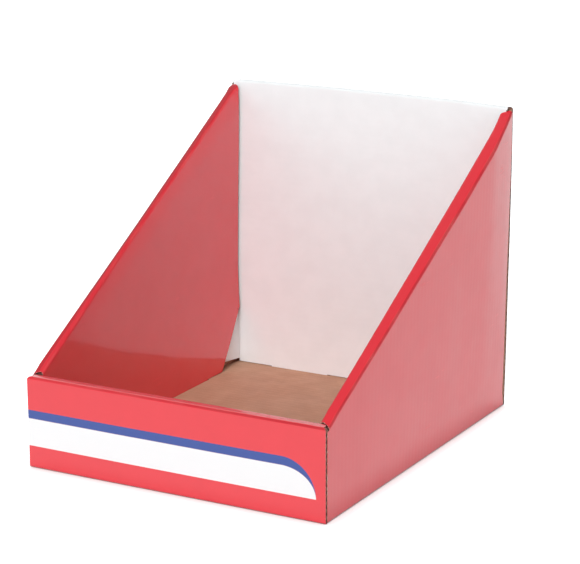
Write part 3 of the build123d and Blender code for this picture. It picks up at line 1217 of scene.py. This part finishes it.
def wear_group():
    """Print chipped at cut edges, cracked on the crown of folds and rubbed beside it."""
    tree = new_tree("wear", "ShaderNodeTree",
                    [("Blank", "Vector", None), ("Edge", "Float", 0.0), ("Fold", "Float", 0.0),
                     ("Amount", "Float", 0.5)],
                    [("Chipped", "Float"), ("Cracked", "Float"), ("Rubbed", "Float")])
    w = Wiring(tree)
    given = w.add("GroupInput", prefix="Node").outputs
    bites = w.add("TexNoise", {"Vector": given["Blank"], "Scale": 420.0, "Detail": 3.0})
    patches = w.add("TexNoise", {"Vector": given["Blank"], "Scale": 35.0, "Detail": 2.0})
    fine = w.math("MULTIPLY", bites.outputs[0], FINE_BITES)
    broad = w.math("MULTIPLY", patches.outputs[0], BROAD_BITES)
    reach = w.math("MULTIPLY", w.math("ADD", fine, broad), given["Amount"])
    chipped = w.ramp(w.math("ADD", given["Edge"], reach), CHIPPED_FROM, CHIPPED_FULL)
    creases = w.add("TexNoise", {"Vector": given["Blank"], "Scale": 1500.0, "Detail": 2.0})
    broken = w.math("ADD", creases.outputs[0], w.math("MULTIPLY", patches.outputs[0], given["Amount"]))
    cracked = w.math("MULTIPLY", w.ramp(broken, CRACKED_FROM, CRACKED_FULL),
                     w.ramp(given["Fold"], *FOLD_CROWN))
    rubbed = w.math("MULTIPLY", w.ramp(given["Fold"], *FOLD_SIDE), w.ramp(patches.outputs[0], 0.35, 0.7))
    result = w.add("GroupOutput", prefix="Node").inputs
    for name, value in (("Chipped", chipped), ("Cracked", cracked), ("Rubbed", rubbed)):
        w.links.new(value, result[name])
    return tree


groups["wear"] = wear_group()
print("wear:", len(groups["wear"].nodes), "nodes")

# %% [markdown]
# Hands and shelves leave long fine scuffs, here only in some places, and soft smudges that change
# the gloss. They follow the object and not the blank, because they came after the folding.

# %% Handling marks
SCUFF_LINES, SCUFF_PLACES, SMUDGES = (0.66, 0.74), (0.5, 0.68), (0.35, 0.75)


def marks_group():
    """Fine scuffs in the varnish and soft smudges."""
    tree = new_tree("handling_marks", "ShaderNodeTree", [("Vector", "Vector", None)],
                    [("Scuff", "Float"), ("Smudge", "Float")])
    w = Wiring(tree)
    given = w.add("GroupInput", prefix="Node").outputs
    long_way = w.add("Mapping", {"Vector": given["Vector"], "Rotation": (0.3, 0.2, 0.5),
                                 "Scale": (1.0, 0.06, 0.4)})
    scratches = w.add("TexNoise", {"Vector": long_way.outputs[0], "Scale": 700.0, "Detail": 2.0})
    where = w.add("TexNoise", {"Vector": given["Vector"], "Scale": 14.0, "Detail": 2.0})
    scuff = w.math("MULTIPLY", w.ramp(scratches.outputs[0], *SCUFF_LINES),
                   w.ramp(where.outputs[0], *SCUFF_PLACES))
    smudge = w.add("TexNoise", {"Vector": given["Vector"], "Scale": 22.0, "Detail": 3.0,
                                "Roughness": 0.6})
    result = w.add("GroupOutput", prefix="Node").inputs
    w.links.new(scuff, result["Scuff"])
    w.links.new(w.ramp(smudge.outputs[0], *SMUDGES), result["Smudge"])
    return tree


groups["marks"] = marks_group()
print("handling marks:", len(groups["marks"].nodes), "nodes")

# %% [markdown]
# ## The printed band
# The front carries a white band with a blue stripe along its top. Both run off the left edge
# and end on the right in a quarter turn, where the stripe tapers to a point. It is drawn from
# its sizes: the distance inside a stretched quarter circle says what is white and what is blue.

# %% Band group
BAND_LOW, BAND_HEIGHT, STRIPE = 20.8, 25.85, 8.0
TURN_START, TURN_RADIUS = 109.3, 34.0
TURN_BLUR, EDGE_BLUR = 0.012, 0.2


def band_group():
    """Masks of the white band and the blue stripe on the front, in metres from its middle."""
    tree = new_tree("front_band", "ShaderNodeTree",
                    [("Place", "Vector", None), ("Low Edge", "Float", BAND_LOW * MM),
                     ("Height", "Float", BAND_HEIGHT * MM), ("Stripe", "Float", STRIPE * MM),
                     ("Turn", "Float", TURN_START * MM), ("Radius", "Float", TURN_RADIUS * MM)],
                    [("White", "Float"), ("Blue", "Float")])
    w = Wiring(tree)
    given = w.add("GroupInput", prefix="Node").outputs
    place = w.add("SeparateXYZ", {0: given["Place"]}).outputs
    past_turn = w.math("MAXIMUM", w.math("SUBTRACT", place["X"], given["Turn"]), 0.0)
    along = w.math("DIVIDE", past_turn, given["Radius"])
    above = w.math("SUBTRACT", place["Z"], given["Low Edge"])

    def inside(height):
        up = w.math("DIVIDE", above, height)
        squares = w.math("ADD", w.math("MULTIPLY", up, up), w.math("MULTIPLY", along, along))
        return w.ramp(w.math("SQRT", squares), 1 + TURN_BLUR, 1 - TURN_BLUR)

    on_front = w.math("LESS_THAN", place["Y"], (BOARD / 2 - half_depth) * MM)
    over = w.math("MULTIPLY", w.ramp(above, -EDGE_BLUR * MM, EDGE_BLUR * MM), on_front)
    white = w.math("MULTIPLY", inside(given["Height"]), over)
    both = w.math("MULTIPLY", inside(w.math("ADD", given["Height"], given["Stripe"])), over)
    result = w.add("GroupOutput", prefix="Node").inputs
    w.links.new(white, result["White"])
    w.links.new(w.math("SUBTRACT", both, white, clamp=True), result["Blue"])
    return tree


groups["band"] = band_group()
print("band:", len(groups["band"].nodes), "nodes")

# %% [markdown]
# ## The finishes
# Every finish starts the same way: a new material, its shader, the flat blank as a UV map, and
# the place on the object. The height of a bump is the sum of its layers, each with its share.

# %% Helpers for the finishes
def start_material(name):
    """A new material with its wiring, its shader and the shared effects."""
    material = bpy.data.materials.new(name)
    material.use_nodes = True
    w = Wiring(material.node_tree)
    shader = w.nodes["Principled BSDF"]
    spot = w.add("UVMap", uv_map="blank").outputs[0]
    place = w.add("TexCoord").outputs["Object"]

    def effect(kind, **inputs):
        node = w.add("Group", node_tree=groups[kind])
        for label, value in inputs.items():
            socket = node.inputs[label.replace("_", " ")]
            if isinstance(value, bpy.types.NodeSocket):
                w.links.new(value, socket)
            else:
                socket.default_value = value
        return node.outputs

    return material, w, shader, spot, place, effect


def mix(w, share, first, second):
    """Colour mixed from first to second by share."""
    node = w.add("Mix", {"Factor": share}, data_type="RGBA")
    for socket, value in ((node.inputs[6], first), (node.inputs[7], second)):
        if isinstance(value, bpy.types.NodeSocket):
            w.links.new(value, socket)
        else:
            socket.default_value = (*value, 1)
    return node.outputs[2]


def bump(w, shader, layers, distance):
    """Adds the heights, each times its share, and feeds them to the shader as a bump."""
    total = None
    for height, share in layers:
        scaled = w.math("MULTIPLY", height, share)
        total = scaled if total is None else w.math("ADD", total, scaled)
    node = w.add("Bump", {"Height": total, "Distance": distance, "Strength": 1.0})
    w.links.new(node.outputs[0], shader.inputs["Normal"])


print("effects to share:", sorted(groups))

# %% [markdown]
# Red and white are ink on a smooth liner under a gloss varnish: a coloured base with a clear
# coat. Along a pressed crease the ink is painted darker, as painted shade of the fold's groove,
# and the bump dents it. Where the print is chipped or cracked, the paper shows and the coat is
# gone. Constant values such as the coat's roughness are set on the shader itself, because an
# export reads them only there.

# %% Printed board
RED_INK, BLUE_INK = (0.79, 0.027, 0.043), (0.016, 0.06, 0.315)
BAND_WHITE, WHITE_INK = (0.87, 0.875, 0.88), (0.875, 0.905, 0.915)
BARE_PAPER = (0.80, 0.62, 0.52)
MOTTLED, CREASE_SHADE = 0.97, 0.55
CREASE_SHADE_SHARE, RUB_SHARE, CRACK_SHARE, SCUFF_SHARE = 0.6, 0.05, 0.7, 0.5
VARNISH_IOR, PAPER_SHINE = 1.6, 0.35
SMOOTH_PRINT = (0.36, 0.42)


def printed(name, ink, coat, coat_roughness, with_band=False):
    """Varnished print on smooth liner."""
    material, w, shader, spot, place, effect = start_material(name)
    ridges = effect("washboard", Blank=spot)
    paper = effect("paper", Blank=spot, Fleck_Share=0.25)
    edge = w.add("Attribute", attribute_name="edge_wear").outputs["Fac"]
    fold = w.add("Attribute", attribute_name="fold_wear").outputs["Fac"]
    wear = effect("wear", Blank=spot, Edge=edge, Fold=fold, Amount=0.5)
    marks = effect("marks", Vector=place)
    darker, crease_shaded_ink = (tuple(c * share for c in ink) for share in (MOTTLED, CREASE_SHADE))
    colour = mix(w, w.ramp(paper["Mottle"], 0.3, 0.7), darker, ink)
    if with_band:
        band = effect("band", Place=place)
        colour = mix(w, band["White"], colour, BAND_WHITE)
        colour = mix(w, band["Blue"], colour, BLUE_INK)
    # The crease mask dents the bump and darkens the ink: painted shade along the fold's groove.
    score_and_shade = w.ramp(w.add("Attribute", attribute_name="crease").outputs["Fac"], 0.2, 0.9)
    colour = mix(w, w.math("MULTIPLY", score_and_shade, CREASE_SHADE_SHARE), colour, crease_shaded_ink)
    colour = mix(w, w.math("MULTIPLY", wear["Rubbed"], RUB_SHARE), colour, BARE_PAPER)
    gone = w.math("MAXIMUM", wear["Chipped"], w.math("MULTIPLY", wear["Cracked"], CRACK_SHARE))
    colour = mix(w, gone, colour, BARE_PAPER)
    w.links.new(colour, shader.inputs["Base Color"])
    w.links.new(w.ramp(marks["Smudge"], 0.0, 1.0, *SMOOTH_PRINT), shader.inputs["Roughness"])
    lost = w.math("MAXIMUM", gone, w.math("MULTIPLY", marks["Scuff"], SCUFF_SHARE))
    w.links.new(w.math("MULTIPLY", w.math("SUBTRACT", 1.0, lost), coat), shader.inputs["Coat Weight"])
    shader.inputs["Coat Roughness"].default_value = coat_roughness
    shader.inputs["Coat IOR"].default_value = VARNISH_IOR
    shader.inputs["Specular IOR Level"].default_value = PAPER_SHINE
    bump(w, shader, [(ridges["Height"], 0.5), (paper["Mottle"], 0.15), (paper["Fibre"], 0.05),
                     (score_and_shade, -0.6), (gone, -0.4)], distance=0.05 * MM)
    return material


finishes_in_order = [
    printed("red_print", RED_INK, coat=1.0, coat_roughness=0.07, with_band=True),
    printed("white_print", WHITE_INK, coat=0.45, coat_roughness=0.16),
]
print("printed finishes:", [material.name for material in finishes_in_order])

# %% [markdown]
# The inside is the bare brown face of the same board. It is matt and fibrous, and the flutes show
# through it as a faint washboard bump and as faint darker rows of painted shade. The papers in the
# cut edge are the same stuff in other tones, and the groove between them is painted near black
# as the shade deep in the open flutes.

# %% Plain board
BROWN_DARK, BROWN_LIGHT, FLECK_BROWN = (0.45, 0.245, 0.155), (0.57, 0.325, 0.215), (0.20, 0.10, 0.06)
ROUGH_LINER = (0.62, 0.78)


def plain_board(name, dark, light, ridge_shade_share=0.0):
    """Bare brown liner: matt, fibrous, flecked, with the flutes showing through as a bump and as rows of
    painted shade.
    """
    material, w, shader, spot, place, effect = start_material(name)
    ridges = effect("washboard", Blank=spot)
    paper = effect("paper", Blank=spot, Fleck_Share=0.42)
    marks = effect("marks", Vector=place)
    tone = w.math("ADD", w.math("MULTIPLY", paper["Mottle"], 0.6), w.math("MULTIPLY", paper["Fibre"], 0.4))
    # Darker rows along the flute crests are painted shade of the washboard.
    tone = w.math("SUBTRACT", tone, w.math("MULTIPLY", ridges["Crest"], ridge_shade_share))
    colour = mix(w, w.ramp(tone, 0.3, 0.72), dark, light)
    colour = mix(w, w.math("MULTIPLY", paper["Fleck"], 0.2), colour, FLECK_BROWN)
    w.links.new(colour, shader.inputs["Base Color"])
    w.links.new(w.ramp(marks["Smudge"], 0.0, 1.0, *ROUGH_LINER), shader.inputs["Roughness"])
    shader.inputs["Specular IOR Level"].default_value = PAPER_SHINE
    bump(w, shader, [(ridges["Height"], 1.0), (paper["Fibre"], 0.4), (paper["Mottle"], 0.3)],
         distance=0.08 * MM)
    return material


finishes_in_order += [
    plain_board("brown_liner", dark=BROWN_DARK, light=BROWN_LIGHT, ridge_shade_share=0.06),
    plain_board("liner_edge", dark=(0.48, 0.27, 0.19), light=(0.62, 0.38, 0.28)),
    # The groove between the liners is painted near black: painted shade of the deep open flutes.
    plain_board("painted_flute_shade", dark=(0.125, 0.055, 0.045), light=(0.18, 0.08, 0.065)),
]
for material in finishes_in_order:
    mesh.materials.append(material)
flute_paper = plain_board("flute_paper", dark=(0.31, 0.145, 0.11), light=(0.43, 0.215, 0.165))
print("finishes:", [material.name for material in finishes_in_order], flute_paper.name)

# %% [markdown]
# Now the ribbon tree can run, because its finish exists. Its inputs are set by the sockets'
# identifiers before Blender first works it out, and the result is kept as a plain mesh.

# %% Make the ribbons
line_object = bpy.data.objects.new("cut_lines", line_mesh)
bpy.context.scene.collection.objects.link(line_object)
tree = ribbon_tree()
maker = line_object.modifiers.new("ribbons", "NODES")
maker.node_group = tree
socket_of = {item.name: item.identifier for item in tree.interface.items_tree if item.in_out == "INPUT"}
maker[socket_of["Pitch"]] = FLUTE_PITCH * MM
maker[socket_of["Paper"]] = PAPER * MM
maker[socket_of["Finish"]] = flute_paper
evaluated = line_object.evaluated_get(bpy.context.evaluated_depsgraph_get())
flute_mesh = bpy.data.meshes.new_from_object(evaluated)
line_object.modifiers.remove(maker)
bpy.data.objects.remove(line_object)
flute_edges = bpy.data.objects.new("flute_edges", flute_mesh)
bpy.context.scene.collection.objects.link(flute_edges)
print("ribbons:", len(flute_mesh.polygons), "faces")

# %% [markdown]
# ## The paper that the tray stands on
# The tray stands on white paper. The paper is lifted to white only where the camera or a
# reflection looks at it, so that it throws no extra light on the board. Close to the tray the
# lift fades with Ambient Occlusion, which keeps the contact shadow, in reflections too.

# %% Studio floor
SPAN = 12.0
PAPER_WHITE = 0.82
CAMERA_LIFT, MIRRORED_WHITE = 0.75, 1.0
CONTACT, SURROUND, CONTACT_DEPTH = 0.021, 0.03, 1.8
floor_mesh = bpy.data.meshes.new("studio_floor")
floor_mesh.from_pydata([(-SPAN, -SPAN, -MM / 2), (SPAN, -SPAN, -MM / 2), (SPAN, SPAN, -MM / 2),
                        (-SPAN, SPAN, -MM / 2)], [], [(0, 1, 2, 3)])
studio_floor = bpy.data.objects.new("studio_floor", floor_mesh)
bpy.context.scene.collection.objects.link(studio_floor)
sweep = bpy.data.materials.new("studio_paper")
sweep.use_nodes = True
w = Wiring(sweep.node_tree)
shader = w.nodes["Principled BSDF"]
shader.inputs["Roughness"].default_value = 0.9
shader.inputs["Specular IOR Level"].default_value = 0.0
shader.inputs["Emission Color"].default_value = (1, 1, 1, 1)
rays = w.add("LightPath").outputs
open_near, open_far = (w.add("AmbientOcclusion", {"Distance": reach}, samples=8).outputs["AO"]
                       for reach in (CONTACT, SURROUND))
seen = w.math("MULTIPLY", w.math("MULTIPLY", rays["Is Camera Ray"], CAMERA_LIFT),
              w.math("POWER", open_near, CONTACT_DEPTH))
reflected = w.math("MULTIPLY", w.math("MULTIPLY", rays["Is Glossy Ray"], MIRRORED_WHITE), open_far)
paper_colour = mix(w, rays["Is Glossy Ray"], (PAPER_WHITE,) * 3, (0, 0, 0))
w.links.new(paper_colour, shader.inputs["Base Color"])
w.links.new(w.math("ADD", seen, reflected), shader.inputs["Emission Strength"])
floor_mesh.materials.append(sweep)
print("studio floor:", 2 * SPAN, "m across")

# %% [markdown]
# ## Room and lamps
# The room's light is strongest near the horizon, so that upright walls are lit as evenly as the
# floor. The camera sees plain white behind the tray. Reflections see the room dimmed, which keeps
# the red deep on faces that look up, while upright faces mirror the white paper and get the pale
# veil of varnished board.

# %% Room
ROOM_TINT, PLAIN_WHITE = (0.97, 0.985, 1, 1), (1, 1, 1, 1)
AT_HORIZON, OVERHEAD, HIGHEST = 0.96, 0.06, 0.9
MIRRORED_ROOM = 0.16
world = bpy.data.worlds.new("studio")
bpy.context.scene.world = world
world.use_nodes = True
w = Wiring(world.node_tree)
w.nodes.clear()
rays = w.add("LightPath").outputs
height = w.add("SeparateXYZ", {0: w.add("TexCoord").outputs["Generated"]}).outputs["Z"]
brightness = w.add("MapRange", {"Value": height, "From Min": 0.0, "From Max": HIGHEST,
                                "To Min": AT_HORIZON, "To Max": OVERHEAD}).outputs[0]
open_room = w.add("Background", {"Color": ROOM_TINT, "Strength": brightness})
dim_room = w.add("Background", {"Color": ROOM_TINT, "Strength": MIRRORED_ROOM})
room = w.add("MixShader", {0: rays["Is Glossy Ray"], 1: open_room.outputs[0], 2: dim_room.outputs[0]})
backdrop = w.add("Background", {"Color": PLAIN_WHITE, "Strength": 1.0})
shown = w.add("MixShader", {0: rays["Is Camera Ray"], 1: room.outputs[0], 2: backdrop.outputs[0]})
w.links.new(shown.outputs[0], w.add("OutputWorld").inputs["Surface"])
print("light of the room, at the horizon and overhead:", AT_HORIZON, OVERHEAD)

# %% [markdown]
# A broad lamp stands in front and above, as in the photograph. A weaker and softer one stands
# behind, which keeps the outer back from falling grey in views from there.

# %% Lamps
for name, energy, spread, lamp_from in (("broad_lamp", 2.3, 30, (0.20, -0.72, 0.69)),
                                        ("rear_fill", 0.9, 60, (-0.25, 0.85, 0.45))):
    lamp_data = bpy.data.lights.new(name, "SUN")
    lamp_data.energy = energy
    lamp_data.angle = radians(spread)
    lamp = bpy.data.objects.new(name, lamp_data)
    lamp.rotation_euler = Vector(lamp_from).to_track_quat("Z", "Y").to_euler()
    bpy.context.scene.collection.objects.link(lamp)
    print(name, "energy", energy, "spread", spread, "degrees")
bpy.context.scene.view_settings.view_transform = "Standard"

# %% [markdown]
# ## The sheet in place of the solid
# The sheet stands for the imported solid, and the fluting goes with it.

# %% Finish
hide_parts("display_tray")
for piece in (sheet, flute_edges):
    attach(piece, BODY)
